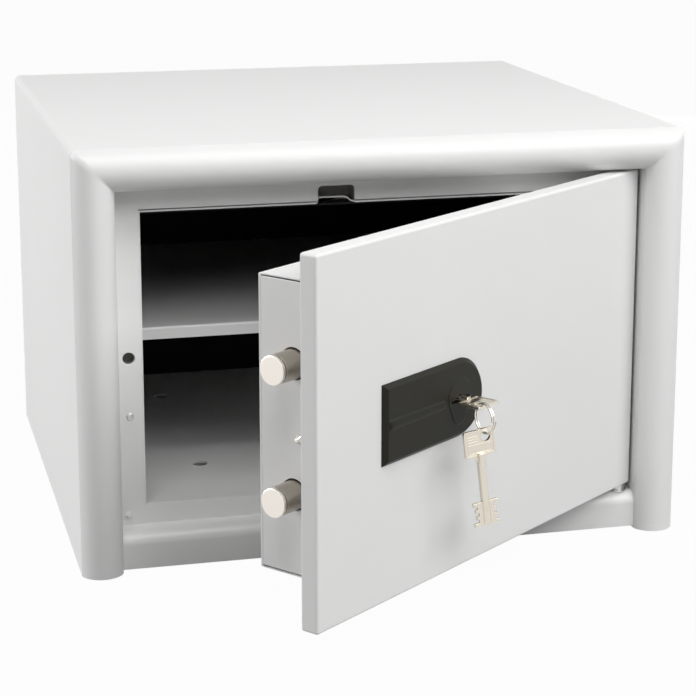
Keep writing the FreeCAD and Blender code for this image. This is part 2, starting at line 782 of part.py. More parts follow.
# Keys: one in the lock with its bow level, a spare hanging from a split ring
def key_blank(length):
    """A double-bit key lying in XY, its bow's outer end at y = 0 and its bit at y = length."""
    half = key_bow_width / 2
    rise = key_bow_thickness / 2
    bow = block(-half, half, 0, key_bow_length, -rise, rise)
    bow = bow.makeFillet(key_bow_radius, [e for e in bow.Edges if e.tangentAt(0).isParallel(Z, running_fit)])
    hole_at = point(key_hole_side, key_hole_inset, -key_bow_thickness)
    bow = bow.cut(rod(key_hole_radius, hole_at, 2 * key_bow_thickness, Z))
    shaft_start = key_bow_length - key_shaft_radius
    key = bow.fuse(rod(key_shaft_radius, point(0, shaft_start, 0), length - shaft_start, Y))
    step = key_bit_length / len(key_bit_shares)
    rise = key_bit_thickness / 2
    for n, (one, other) in enumerate(zip(key_bit_shares, reversed(key_bit_shares))):
        y = length - key_bit_length + n * step
        key = key.fuse(block(-key_bit_half * one, key_bit_half * other, y, y + step, -rise, rise))
    return key.removeSplitter()


def split_ring():
    """A wire wound in half-turn arcs about Z, each a half pitch higher, drawn about the origin."""
    rise = ring_pitch / 2
    start = -ring_turns * rise
    edges, middles = [], []
    for n in range(2 * ring_turns):
        side = 1 if n % 2 == 0 else -1
        z = start + n * rise
        a = point(side * ring_radius, 0, z)
        b = point(-side * ring_radius, 0, z + rise)
        middles.append(point(0, side * ring_radius, z + rise / 2))
        edges.append(Part.Arc(a, middles[-1], b).toShape())
    path = Part.Wire(edges)
    circle = Part.Wire(Part.makeCircle(ring_wire / 2, point(ring_radius, 0, start), Y))
    gap = min(a.distanceToPoint(b) for a, b in zip(middles, middles[2:])) - ring_wire
    print(f"key ring: least gap between its turns {gap:.2f} mm")
    return path.makePipeShell([circle], True, False)


def make_keys():
    bow_end = door_front - plate_thickness - key_neck - key_bow_length
    bit_end = case_back - rotor_length + rotor_slot_depth - key_slot_clearance
    length = bit_end - bow_end
    key = key_blank(length)
    key.rotate(point(0, 0, 0), Y, 180)
    key.translate(point(key_x, bow_end, key_height))
    parts["lock_key"] = key

    hole = point(key_x - key_hole_side, bow_end + key_hole_inset, key_height)
    side = FreeCAD.Rotation(Z, ring_yaw).multVec(X)
    drop = math.sqrt(ring_radius**2 - ring_side**2)
    centre = hole + side * ring_side - Z * drop
    ring = split_ring()
    ring.rotate(point(0, 0, 0), X, 90)
    ring.rotate(point(0, 0, 0), Z, ring_yaw)
    ring.translate(centre)
    parts["key_ring"] = ring

    seat = centre - Z * (ring_radius + key_hole_radius - ring_wire / 2 - ring_clearance)
    spare = key_blank(length)
    spare.translate(point(-key_hole_side, -key_hole_inset, 0))
    spare.rotate(point(0, 0, 0), X, -90)
    spare.rotate(point(0, 0, 0), Y, -spare_lean)
    spare.rotate(point(0, 0, 0), Z, spare_yaw)
    spare.translate(seat)
    parts["spare_key"] = spare


cabinet_nodes = list(parts)
make_leaf()
make_box()
make_boltwork()
make_lock()
make_escutcheon()
make_keys()

os.makedirs("parts", exist_ok=True)
for name, shape in parts.items():
    if name not in cabinet_nodes:
        shape.rotate(point(hinge_x, hinge_y, 0), Z, rest_opening)
    shape.exportStep(f"parts/{name}.step")
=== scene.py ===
import bmesh
import bpy
import math
from mathutils import Matrix, Vector


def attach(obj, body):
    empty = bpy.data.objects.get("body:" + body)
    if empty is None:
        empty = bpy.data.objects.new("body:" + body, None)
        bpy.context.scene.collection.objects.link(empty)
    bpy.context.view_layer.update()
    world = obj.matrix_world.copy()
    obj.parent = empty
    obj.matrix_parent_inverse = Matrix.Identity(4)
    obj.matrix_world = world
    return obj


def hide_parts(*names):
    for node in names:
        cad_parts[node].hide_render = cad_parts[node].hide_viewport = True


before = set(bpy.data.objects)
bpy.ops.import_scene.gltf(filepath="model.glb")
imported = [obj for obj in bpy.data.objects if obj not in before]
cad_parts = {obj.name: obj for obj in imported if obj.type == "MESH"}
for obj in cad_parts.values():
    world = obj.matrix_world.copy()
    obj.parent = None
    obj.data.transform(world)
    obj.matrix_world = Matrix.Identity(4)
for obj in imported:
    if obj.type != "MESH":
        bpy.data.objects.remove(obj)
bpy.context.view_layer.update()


# Casing: one steel sheet bent over the top and both sides, with soft long edges.
# It is powder coated in light grey, with the fine orange peel that such a coat has.
half_width, cabinet_height = 234.0, 320.0
shell_front, back_y = -211.5, 222.5
sheet, edge_radius, edge_break, back_roll = 2.0, 5.0, 0.45, 1.6
MM = Matrix.Scale(0.001, 4)


def grain_group():
    """Surface of a sprayed or moulded skin: fine dimples and a slow, faint cloud of tone."""
    tree = bpy.data.node_groups.new("skin_grain", "ShaderNodeTree")
    face = tree.interface
    face.new_socket("Dimples per metre", in_out="INPUT", socket_type="NodeSocketFloat")
    face.new_socket("Clouds per metre", in_out="INPUT", socket_type="NodeSocketFloat")
    face.new_socket("Height", in_out="OUTPUT", socket_type="NodeSocketFloat")
    face.new_socket("Tone", in_out="OUTPUT", socket_type="NodeSocketFloat")
    node, link = tree.nodes.new, tree.links.new
    inputs, outputs = node("NodeGroupInput"), node("NodeGroupOutput")
    place = node("ShaderNodeTexCoord")
    dimples, fine, cloud = (node("ShaderNodeTexNoise") for _ in range(3))
    dimples.inputs["Detail"].default_value = 2.0
    dimples.inputs["Roughness"].default_value = 0.45
    cloud.inputs["Detail"].default_value = 3.0
    for texture, socket in ((dimples, "Dimples per metre"), (cloud, "Clouds per metre")):
        link(place.outputs["Object"], texture.inputs["Vector"])
        link(inputs.outputs[socket], texture.inputs["Scale"])
    finer = node("ShaderNodeMath")
    finer.operation = "MULTIPLY"
    finer.inputs[1].default_value = 3.7
    link(inputs.outputs["Dimples per metre"], finer.inputs[0])
    link(place.outputs["Object"], fine.inputs["Vector"])
    link(finer.outputs[0], fine.inputs["Scale"])
    both = node("ShaderNodeMath")
    both.operation = "MULTIPLY_ADD"
    both.inputs[1].default_value = 0.35
    link(fine.outputs["Fac"], both.inputs[0])
    link(dimples.outputs["Fac"], both.inputs[2])
    link(both.outputs[0], outputs.inputs["Height"])
    link(cloud.outputs["Fac"], outputs.inputs["Tone"])
    return tree


skin_grain = grain_group()


def surfaced(name, effect, settings, pale, deep, gloss, drift, strength, depth):
    """A material whose colour and gloss drift with an effect's tone. The effect's height gives the bump."""
    material = bpy.data.materials.new(name)
    material.use_nodes = True
    nodes, link = material.node_tree.nodes, material.node_tree.links.new
    shader = nodes["Principled BSDF"]
    group = nodes.new("ShaderNodeGroup")
    group.node_tree = effect
    for socket, value in settings.items():
        group.inputs[socket].default_value = value
    tint = nodes.new("ShaderNodeMix")
    tint.name = "tint"
    tint.data_type = "RGBA"
    tint.inputs["A"].default_value = (*deep, 1)
    tint.inputs["B"].default_value = (*pale, 1)
    link(group.outputs["Tone"], tint.inputs["Factor"])
    link(tint.outputs["Result"], shader.inputs["Base Color"])
    sheen = nodes.new("ShaderNodeMapRange")
    sheen.inputs["To Min"].default_value = gloss - drift
    sheen.inputs["To Max"].default_value = gloss + drift
    link(group.outputs["Tone"], sheen.inputs["Value"])
    link(sheen.outputs["Result"], shader.inputs["Roughness"])
    bump = nodes.new("ShaderNodeBump")
    bump.inputs["Strength"].default_value = strength
    bump.inputs["Distance"].default_value = depth
    link(group.outputs["Height"], bump.inputs["Height"])
    link(bump.outputs["Normal"], shader.inputs["Normal"])
    return material


def coated(name, pale, deep, gloss, dimples, depth, also=()):
    """A sprayed, moulded or plain finish with a grain. Other sockets of its shader can be set as well."""
    settings = {"Dimples per metre": dimples, "Clouds per metre": 9.0}
    material = surfaced(name, skin_grain, settings, pale, deep, gloss, 0.04, 0.6, depth)
    for socket, value in also:
        material.node_tree.nodes["Principled BSDF"].inputs[socket].default_value = value
    return material


light_coat = coated("light_powder_coat", (0.80, 0.80, 0.795), (0.765, 0.765, 0.76), 0.40, 700.0, 0.00006)


def skinned(name, rings, cap="fill"):
    """A closed skin through loops of points. Its ends are filled, or bridged where a loop is a bent strip."""
    count = len(rings[0])
    faces = []
    for level in range(len(rings) - 1):
        for k in range(count):
            a, b = level * count + k, level * count + (k + 1) % count
            faces.append((a, b, b + count, a + count))
    for level in (0, len(rings) - 1):
        start = level * count
        if cap == "fill":
            faces.append(tuple(range(start, start + count)))
        elif cap == "bridge":
            for k in range(count // 2 - 1):
                faces.append((start + k, start + k + 1, start + count - 2 - k, start + count - 1 - k))
    mesh = bpy.data.meshes.new(name)
    mesh.from_pydata([point for ring in rings for point in ring], [], faces)
    return mesh


def held(name, data):
    """An object in the scene that holds a mesh, a curve, a lamp or a camera."""
    holder = bpy.data.objects.new(name, data)
    bpy.context.scene.collection.objects.link(holder)
    return holder


def made_plain(holder):
    """The plain mesh that an object's curve or modifiers make. The object and its modifiers go."""
    bpy.context.view_layer.update()
    mesh = bpy.data.meshes.new_from_object(holder.evaluated_get(bpy.context.evaluated_depsgraph_get()))
    mesh.name = holder.name
    holder.modifiers.clear()
    bpy.data.objects.remove(holder)
    return mesh


def clean(mesh, gap):
    """Joins points that meet within a gap and turns the faces outwards."""
    work = bmesh.new()
    work.from_mesh(mesh)
    bmesh.ops.remove_doubles(work, verts=work.verts, dist=gap)
    bmesh.ops.recalc_face_normals(work, faces=work.faces)
    work.to_mesh(mesh)
    work.free()


def settle(mesh, place, crease):
    """Puts a mesh drawn in millimetres in its place, with outward faces, soft curves and flat flats."""
    mesh.transform(place)
    clean(mesh, 1e-7)
    mesh.shade_smooth()
    mesh.set_sharp_from_angle(angle=math.radians(crease))
    holder = held(mesh.name, mesh)
    weigh = holder.modifiers.new("flats", "WEIGHTED_NORMAL")
    weigh.keep_sharp = True
    weigh.weight = 100
    return made_plain(holder)


def fitted(name, mesh, material, body, nodes=(), place=MM, crease=32):
    """Finishes a piece: settled, coloured and riding on its body in the place of its solids."""
    mesh = settle(mesh, place, crease)
    mesh.materials.clear()
    mesh.materials.append(material)
    piece = held(name, mesh)
    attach(piece, body)
    if nodes:
        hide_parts(*nodes)


def finish_solids(material, *names):
    """Gives solids that stay as they are their finish."""
    for name in names:
        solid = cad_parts[name].data
        solid.materials.clear()
        solid.materials.append(material)


def arc(x, y, radius, start, end, steps):
    """Points along a circle's arc, angles in degrees."""
    turns = [math.radians(start + (end - start) * k / steps) for k in range(steps + 1)]
    return [(x + radius * math.cos(a), y + radius * math.sin(a)) for a in turns]


def hoop(half, top, radius):
    """The casing's bent line in XZ, from the left foot over the top to the right foot."""
    side, level = half - radius, top - radius
    bends = arc(-side, level, radius, 180, 90, 10) + arc(side, level, radius, 90, 0, 10)
    return [(-half, 0.0), *bends, (half, 0.0)]


rings = []
for y, inset in ((shell_front, edge_break), (shell_front + edge_break, 0.0), (back_y - back_roll, 0.0),
                 (back_y - 0.5, edge_break), (back_y, 1.5)):
    outer = hoop(half_width - inset, cabinet_height - inset, edge_radius - inset)
    inner = hoop(half_width - sheet, cabinet_height - sheet, edge_radius - sheet)
    rings.append([(x, y, z) for x, z in outer] + [(x, y, z) for x, z in reversed(inner)])
fitted("casing_sheet", skinned("casing_sheet", rings, "bridge"), light_coat, "cabinet",
       ["outer_shell"])
finish_solids(light_coat, "base_plate")


# Front frame: half-round hollow section, made up of two posts and a top rail.
# The corners are mitred, welded and ground smooth before coating, so the round runs on through them.
frame_width, front_y, jamb_front = 31.0, -222.5, -187.5
seam, mitre_radius = 0.3, 0.6
bulge = shell_front - front_y
nose_radius = ((frame_width / 2) ** 2 + bulge**2) / (2 * bulge)
reach = math.degrees(math.asin(frame_width / 2 / nose_radius))
section = arc(frame_width / 2, front_y + nose_radius, nose_radius, -90 - reach, reach - 90, 28)
section[0] = (seam, shell_front - seam)
section += [(frame_width, jamb_front), (sheet, jamb_front), (sheet, shell_front), (seam, shell_front)]
rings = [[(-half_width + w, y, 0.0) for w, y in section]]
for side, start in ((-1, 180), (1, 90)):
    for step in range(13):
        angle = math.radians(start - 7.5 * step)
        ring = []
        for w, y in section:
            bend = edge_radius - (edge_radius - mitre_radius) * w / frame_width
            ring.append((side * (half_width - w - bend) + bend * math.cos(angle), y,
                         cabinet_height - w - bend + bend * math.sin(angle)))
        rings.append(ring)
rings.append([(half_width - w, y, 0.0) for w, y in section])
fitted("front_frame", skinned("front_frame", rings), light_coat, "cabinet",
       ["left_post", "right_post", "top_rail"], crease=40)


# Bottom rail: one steel sheet bent over to a rounded top edge and coated with the frame.
# It is welded between the two posts, just clear of the floor.
frame_inner = half_width - frame_width
rail_face, rail_low, rail_top, rail_round = shell_front + 1.5, 1.8, 29.0, 9.0
section = [(rail_face, rail_low)]
section += arc(rail_face + rail_round, rail_top - rail_round, rail_round, 180, 90, 12)
section += [(jamb_front, rail_top), (jamb_front, rail_low)]
rings = [[(x, y, z) for y, z in section] for x in (-frame_inner, frame_inner)]
fitted("bottom_rail_sheet", skinned("bottom_rail_sheet", rings), light_coat, "cabinet",
       ["bottom_rail"])


# Jamb: one flat sheet behind the frame, with the door's opening cut out and its edges broken.
# The bolts lock behind its left strip. A notch is cut in the top strip.
inner_half, jamb_sheet, jamb_break = half_width - sheet, 2.5, 0.45
jamb_back = jamb_front + jamb_sheet
opening_half, opening_low, opening_top = frame_inner - 21.5, 44.5, 268.5
notch_left, notch_right, notch_top, notch_round = -47.5, -19.5, 282.0, 3.0
strip_x, jamb_hole_z, jamb_hole_radius = -192.25, 158.5, 4.6
bead, bead_gap = 1.2, 0.9
FRONT = Matrix.Rotation(math.radians(90), 4, "X")


def circle(x, y, radius, steps=48):
    """Points round a whole circle."""
    return arc(x, y, radius, 0, 360, steps)[:-1]


def rounded(x0, x1, y0, y1, radius, steps=5):
    """A rectangle's outline with round corners."""
    left, right, low, high = x0 + radius, x1 - radius, y0 + radius, y1 - radius
    line = []
    for quarter, (x, y) in enumerate(((right, high), (left, high), (left, low), (right, low))):
        line += arc(x, y, radius, 90 * quarter, 90 * quarter + 90, steps)
    return line


def flat_cut(name, outlines, thick, soft, steps=2):
    """A sheet cut to an outline with holes, its edges broken. It lies in XY and rises from z = 0."""
    curve = bpy.data.curves.new(name, "CURVE")
    curve.dimensions, curve.fill_mode = "2D", "BOTH"
    curve.extrude = thick / 2 - soft
    curve.bevel_depth, curve.bevel_resolution, curve.offset = soft, steps, -soft
    for line in outlines:
        spline = curve.splines.new("POLY")
        spline.points.add(len(line) - 1)
        for point, (x, y) in zip(spline.points, line):
            point.co = (x, y, 0, 1)
        spline.use_cyclic_u = True
    mesh = made_plain(held(name, curve))
    mesh.transform(Matrix.Translation((0, 0, thick / 2)))
    return mesh


edge = rounded(-inner_half, inner_half, 0.0, cabinet_height - sheet, edge_radius - sheet)
cut_half, cut_top, corner_z = opening_half + bead, opening_top + bead + bead_gap, notch_top - notch_round
opening = [(-cut_half, opening_low), (cut_half, opening_low), (cut_half, cut_top), (notch_right, cut_top),
           (notch_right, corner_z), *arc(notch_right - notch_round, corner_z, notch_round, 0, 90, 4),
           *arc(notch_left + notch_round, corner_z, notch_round, 90, 180, 4), (notch_left, cut_top),
           (-cut_half, cut_top)]
hole = circle(strip_x, jamb_hole_z, jamb_hole_radius)
fitted("jamb_sheet", flat_cut("jamb_sheet", [edge, opening, hole], jamb_sheet, jamb_break), light_coat,
       "cabinet", ["jamb_frame"], MM @ Matrix.Translation((0, jamb_back, 0)) @ FRONT)


# Liner lip: the turned front edge of the liner's sheets, standing in the jamb's opening as a narrow bead.
# It is pressed up into an arch behind the notch and stays clear of the jamb's edge along the top.
bead_depth, bead_set, foot = 2.2, 0.1, opening_low + 0.2
arch = [(notch_left - 1.0, opening_top), (notch_left + 0.6, opening_top + 4.2)]
arch += arc(notch_right - 9.0, opening_top - 2.8, 7.0, 90, 35, 6) + [(notch_right + 1.0, opening_top)]
inside = [(opening_half, foot), (opening_half, opening_top), *arch[::-1], (-opening_half, opening_top),
          (-opening_half, foot)]
outside = [(x + math.copysign(bead, x) if abs(x) == opening_half else x, z + bead if z > foot else z)
           for x, z in inside]
fitted("liner_lip", flat_cut("liner_lip", [outside + inside[::-1]], bead_depth, 0.3), light_coat,
       "cabinet", (), MM @ Matrix.Translation((0, jamb_back - bead_set, 0)) @ FRONT)


# Jamb fittings: a cross-recess screw beside the opening and a moulded button at each lower corner.
# The screw is zinc plated. The buttons are clear plastic that damps the door's last bit of travel.
jamb_screw_z, jamb_screw_radius, jamb_screw_rise = 113.5, 2.8, 1.0
button_x, button_z = 195.0, 36.75
button_profile = [(0, 0), (2.9, 0), (2.9, 0.5), (2.75, 0.75), (2.3, 0.8), (2.2, 1.0), (1.5, 1.35),
                  (0.8, 1.47), (0, 1.5)]


def marks_group():
    """Marks of a tool along a surface: streaks that follow the place where each point was drawn."""
    tree = bpy.data.node_groups.new("tool_marks", "ShaderNodeTree")
    face = tree.interface
    face.new_socket("Marks per millimetre", in_out="INPUT", socket_type="NodeSocketVector")
    face.new_socket("Height", in_out="OUTPUT", socket_type="NodeSocketFloat")
    face.new_socket("Tone", in_out="OUTPUT", socket_type="NodeSocketFloat")
    node, link = tree.nodes.new, tree.links.new
    inputs, outputs = node("NodeGroupInput"), node("NodeGroupOutput")
    drawn = node("ShaderNodeAttribute")
    drawn.attribute_name = "drawn_at"
    stretch = node("ShaderNodeVectorMath")
    stretch.operation = "MULTIPLY"
    link(drawn.outputs["Vector"], stretch.inputs[0])
    link(inputs.outputs["Marks per millimetre"], stretch.inputs[1])
    for scale, socket in ((3.0, "Height"), (0.6, "Tone")):
        texture = node("ShaderNodeTexNoise")
        texture.inputs["Scale"].default_value = scale
        texture.inputs["Detail"].default_value = 3.0
        link(stretch.outputs[0], texture.inputs["Vector"])
        link(texture.outputs["Fac"], outputs.inputs[socket])
    return tree


tool_marks = marks_group()


def metal(name, pale, deep, gloss, marks):
    """A plated or polished metal: streaks of tone and gloss with fine marks in the surface."""
    settings = {"Marks per millimetre": marks}
    material = surfaced(name, tool_marks, settings, pale, deep, gloss, 0.06, 0.5, 0.00002)
    material.node_tree.nodes["Principled BSDF"].inputs["Metallic"].default_value = 1.0
    return material


def keep_drawn(mesh, places):
    """Keeps where each point was drawn, in millimetres, for marks that follow the surface."""
    mesh.attributes.new("drawn_at", "FLOAT_VECTOR", "POINT").data.foreach_set(
        "vector", [value for place in places for value in place])
    return mesh


def turned(name, profile, steps=64):
    """A piece turned about Z, from its radius and height along the profile. Marks run round it."""
    points, faces, places, run = [], [], [], 0.0
    for level, (radius, height) in enumerate(profile):
        if level:
            run += math.dist(profile[level - 1], profile[level])
        for k in range(steps):
            angle = 2 * math.pi * k / steps
            points.append((radius * math.cos(angle), radius * math.sin(angle), height))
            places.append((run, 0.0, 0.0))
        if level:
            for k in range(steps):
                low, next_low = (level - 1) * steps + k, (level - 1) * steps + (k + 1) % steps
                faces.append((low, next_low, next_low + steps, low + steps))
    mesh = bpy.data.meshes.new(name)
    mesh.from_pydata(points, [], faces)
    return keep_drawn(mesh, places)


def carve(mesh, *cutters):
    """Cuts other shapes out of a mesh, all still in millimetres."""
    for shape in (mesh, *cutters):
        clean(shape, 1e-5)
    holder = held(mesh.name, mesh)
    tools = [held(cutter.name, cutter) for cutter in cutters]
    for tool in tools:
        cut = holder.modifiers.new("cut", "BOOLEAN")
        cut.operation, cut.solver, cut.use_self = "DIFFERENCE", "EXACT", True
        cut.object = tool
    done = made_plain(holder)
    for tool in tools:
        bpy.data.objects.remove(tool)
    return done


def slab(name, low, high, soft=0.0, steps=3):
    """A block between two corners, its edges rounded."""
    work = bmesh.new()
    bmesh.ops.create_cube(work, size=1)
    for vertex in work.verts:
        vertex.co = [b if c > 0 else a for a, b, c in zip(low, high, vertex.co)]
    if soft:
        bmesh.ops.bevel(work, geom=work.edges[:], offset=soft, segments=steps, profile=0.5, affect="EDGES")
    mesh = bpy.data.meshes.new(name)
    work.to_mesh(mesh)
    work.free()
    return mesh


def cross_head(name, radius, rise):
    """A low domed screw head with a cross recess."""
    dome = [(0, 0), (radius, 0), (radius, rise * 0.3)]
    for angle in range(10, 90, 10):
        turn = math.radians(angle)
        dome.append((radius * math.cos(turn), rise * (0.3 + 0.7 * math.sin(turn))))
    head = turned(name, dome + [(0, rise)], 40)
    arm, reach, bottom, above = radius * 0.11, radius * 0.52, rise * 0.35, 2 * rise
    return carve(head, slab("cross_one", (-reach, -arm, bottom), (reach, arm, above)),
                 slab("cross_two", (-arm, -reach, bottom), (arm, reach, above)))


zinc = metal("zinc_plated_steel", (0.62, 0.62, 0.60), (0.46, 0.46, 0.45), 0.36, (1.5, 1.5, 1.5))
screw_head = cross_head("jamb_screw_head", jamb_screw_radius, jamb_screw_rise)
fitted("jamb_screw_head", screw_head, zinc, "cabinet", ["jamb_screw"],
       MM @ Matrix.Translation((strip_x, jamb_front, jamb_screw_z)) @ FRONT)


def copies_tree():
    """Puts a copy of one piece on every point of a mesh, each turned further than the one before."""
    tree = bpy.data.node_groups.new("copies_on_points", "GeometryNodeTree")
    face = tree.interface
    face.new_socket("Points", in_out="INPUT", socket_type="NodeSocketGeometry")
    face.new_socket("Copied piece", in_out="INPUT", socket_type="NodeSocketObject")
    face.new_socket("Turn per copy", in_out="INPUT", socket_type="NodeSocketFloat")
    face.new_socket("Finish", in_out="INPUT", socket_type="NodeSocketMaterial")
    face.new_socket("Copies", in_out="OUTPUT", socket_type="NodeSocketGeometry")
    node, link = tree.nodes.new, tree.links.new
    inputs, outputs = node("NodeGroupInput"), node("NodeGroupOutput")
    spots = node("GeometryNodeMeshToPoints")
    original = node("GeometryNodeObjectInfo")
    number = node("GeometryNodeInputIndex")
    turn = node("ShaderNodeMath")
    turn.operation = "MULTIPLY"
    about = node("ShaderNodeCombineXYZ")
    put = node("GeometryNodeInstanceOnPoints")
    real = node("GeometryNodeRealizeInstances")
    finish = node("GeometryNodeSetMaterial")
    link(inputs.outputs["Points"], spots.inputs["Mesh"])
    link(inputs.outputs["Copied piece"], original.inputs["Object"])
    link(number.outputs[0], turn.inputs[0])
    link(inputs.outputs["Turn per copy"], turn.inputs[1])
    link(turn.outputs[0], about.inputs["Z"])
    link(spots.outputs["Points"], put.inputs["Points"])
    link(original.outputs["Geometry"], put.inputs["Instance"])
    link(about.outputs[0], put.inputs["Rotation"])
    link(put.outputs["Instances"], real.inputs["Geometry"])
    link(real.outputs["Geometry"], finish.inputs["Geometry"])
    link(inputs.outputs["Finish"], finish.inputs["Material"])
    link(finish.outputs["Geometry"], outputs.inputs["Copies"])
    return tree


copies_on_points = copies_tree()


def grown(name, tree, values, mesh):
    """Runs a Geometry Nodes tree on a mesh and gives back the plain mesh that it makes."""
    holder = held(name, mesh)
    growth = holder.modifiers.new("growth", "NODES")
    growth.node_group = tree
    for socket in tree.interface.items_tree:
        if socket.in_out == "INPUT" and socket.name in values:
            growth[socket.identifier] = values[socket.name]
    return made_plain(holder)


def repeated(name, piece, spots, finish, turn=0.0):
    """One mesh with a copy of a piece at every spot."""
    points = bpy.data.meshes.new(name + "_spots")
    points.from_pydata(spots, [], [])
    original = held(name + "_original", piece)
    values = {"Copied piece": original, "Turn per copy": turn, "Finish": finish}
    mesh = grown(name, copies_on_points, values, points)
    bpy.data.objects.remove(original)
    return mesh


clear_plastic = coated("clear_button_plastic", (0.90, 0.90, 0.88), (0.82, 0.82, 0.80), 0.16, 300.0, 0.00003,
                       [("Transmission Weight", 0.08)])
spots = [(-button_x, button_z, 0), (button_x, button_z, 0)]
buttons = repeated("jamb_buttons", turned("button", button_profile), spots, clear_plastic)
fitted("jamb_buttons", buttons, clear_plastic, "cabinet", ["jamb_plugs"],
       MM @ Matrix.Translation((0, jamb_front, 0)) @ FRONT)


# Back panel: a flat steel sheet let into the casing, with a fine seam round it.
# Spot welds along its rim hold it to the flanges inside and show as shallow rings under the coat.
BACK = Matrix.Rotation(math.radians(180), 4, "Z") @ FRONT
panel_gap, panel_thick, panel_break, panel_set = 0.5, 1.7, 0.45, 0.3
panel_half, panel_top = half_width - sheet - panel_gap, cabinet_height - sheet - panel_gap
panel_face = MM @ Matrix.Translation((0, back_y - panel_set, 0))
rim = hoop(panel_half, panel_top, edge_radius - sheet)
fitted("back_sheet", flat_cut("back_sheet", [rim], panel_thick, panel_break), light_coat, "cabinet",
       ["back_panel"], panel_face @ FRONT)
weld_profile = [(0, -0.3), (3.6, -0.3), (3.6, 0.0), (3.2, 0.12), (2.7, 0.14), (2.2, 0.05), (0, 0.04)]
weld_inset, lowest_weld, side_pitch, top_pitch = 9.0, 25.0, 56.0, 66.0
spots = []
for n in range(6):
    spots += [(side * (panel_half - weld_inset), lowest_weld + side_pitch * n, 0) for side in (-1, 1)]
    spots.append((top_pitch * (n - 2.5), panel_top - weld_inset, 0))
welds = repeated("back_welds", turned("weld", weld_profile, 32), spots, light_coat)
fitted("back_welds", welds, light_coat, "cabinet", (), panel_face @ BACK)


# Liner: plain folded sheets, light on the floor. The walls, roof and back carry painted shade: a near-black
# coat stands in for the shade deep inside.
# The shelf is a light folded tray with a turned-down lip. It rests on two angle rails and lifts out.
# Painted shade: this near-black, low-gloss coat on the liner's walls, roof and back stands in for the shade
# inside the safe.
shade_painted_liner_coat = coated("dark_liner_coat", (0.012, 0.012, 0.013), (0.008, 0.008, 0.009), 0.62, 700.0, 0.00006,
                   [("Specular IOR Level", 0.15)])
finish_solids(light_coat, "liner_floor", "shelf_rails")
finish_solids(shade_painted_liner_coat, "liner_roof", "liner_left", "liner_right", "liner_back")
shelf_front, shelf_rear, shelf_top, shelf_gap = jamb_back + 50.0, 174.0, 168.0, 0.5
shelf_fold, lip_sheet = 1.8, 1.5
lip_low, tray_under = shelf_top - 9.5, shelf_top - 1.6
section = [(shelf_front, lip_low)]
section += arc(shelf_front + shelf_fold, shelf_top - shelf_fold, shelf_fold, 180, 90, 6)
section += arc(shelf_rear - shelf_fold, shelf_top - shelf_fold, shelf_fold, 90, 0, 6)
section += [(shelf_rear, lip_low), (shelf_rear - lip_sheet, lip_low), (shelf_rear - lip_sheet, tray_under),
            (shelf_front + lip_sheet, tray_under), (shelf_front + lip_sheet, lip_low)]
rings = [[(x, y, z) for y, z in section] for x in (shelf_gap - opening_half, opening_half - shelf_gap)]
fitted("shelf_tray", skinned("shelf_tray", rings), light_coat, "cabinet", ["shelf"])


# Fire boards: pressed mineral board behind the liner and in the door, seen only at the holes.
# They are cut square and held between the sheets.
board_face = coated("mineral_board", (0.34, 0.33, 0.31), (0.26, 0.25, 0.24), 0.85, 400.0, 0.0003)
finish_solids(board_face, "board_left", "board_right", "board_top", "board_base", "board_back", "door_board")


# Door leaf: a shallow pan of steel sheet with softly rounded edges, closed by a backing sheet.
# The door's pieces are drawn shut and swung open about the pins, to where the photograph has them.
door_front, door_back = shell_front + 5.0, shell_front + 19.0
door_free, door_hinge = -frame_inner + 6.0, frame_inner - 4.0
door_low, door_top, leaf_edge = 35.0, 287.0, 2.05
pin_x, pin_y, door_swing = door_hinge - 6.0, door_front + 7.0, math.radians(38.1)
key_x, key_z = door_free + 152.7, 160.0
slot_half, slot_rise, slot_corner, shaft_hole = 10.1, 1.7, 0.8, 3.5
ajar = (MM @ Matrix.Translation((pin_x, pin_y, 0)) @ Matrix.Rotation(door_swing, 4, "Z")
        @ Matrix.Translation((-pin_x, -pin_y, 0)))


def keyhole(name, low, high):
    """The opening that a double-bit key passes, as a shape to cut with. It stands in XY."""
    corner = arc(slot_half - slot_corner, slot_rise - slot_corner, slot_corner, 0, 90, 3)
    throat = math.degrees(math.asin(slot_rise / shaft_hole))
    upper = arc(0, 0, shaft_hole, throat, 180 - throat, 12)
    line = corner + upper + [(-x, y) for x, y in reversed(corner)]
    line += [(-x, -y) for x, y in line]
    return skinned(name, [[(key_x + x, key_z + y, level) for x, y in line] for level in (low, high)])


leaf = slab("door_leaf", (door_free, door_low, 0.0), (door_hinge, door_top, door_back - door_front),
            leaf_edge, 4)
fitted("door_leaf", carve(leaf, keyhole("leaf_keyhole", -1.0, 20.0)), light_coat, "door",
       ["door_panel", "door_backing"], ajar @ Matrix.Translation((0, door_back, 0)) @ FRONT)


# Hinge: turned steel pins in flanged bushes, let into the top and bottom rails.
# A loose washer carries the door's weight. All are zinc plated.
bare_steel = coated("bright_steel", (0.62, 0.62, 0.60), (0.50, 0.50, 0.49), 0.36, 900.0, 0.00003,
                    [("Metallic", 1.0)])
finish_solids(bare_steel, "hinge_bushes", "hinge_washer", "hinge_blocks", "hinge_pins")


# Lock box: a sheet bent round three sides, a side plate with the bolt holes and a screwed cover.
# The side plate is let in with a fine open seam above and below. All are coated like the door.
box_left, box_right = door_free + 22.0, door_hinge - 34.0
box_low, box_top, box_rear = door_low + 26.0, door_top - 24.0, door_back + 50.0
box_middle = (box_low + box_top) / 2
box_bend, wrap_sheet, wrap_seam, side_seam, plate_sheet = 3.0, 0.8, 0.25, 1.8, 2.0
bolt_y, bolt_hole = door_front + 37.0, 11.0
bolt_levels = (box_middle - 44.5, box_middle + 44.5)
pin_depth, pin_z, pin_hole = door_front + 32.5, box_middle - 6.0, 3.3
screw_inset, screw_radius, screw_rise = 9.0, 4.0, 1.6
LEFT = Matrix.Rotation(math.radians(-90), 4, "Z") @ FRONT


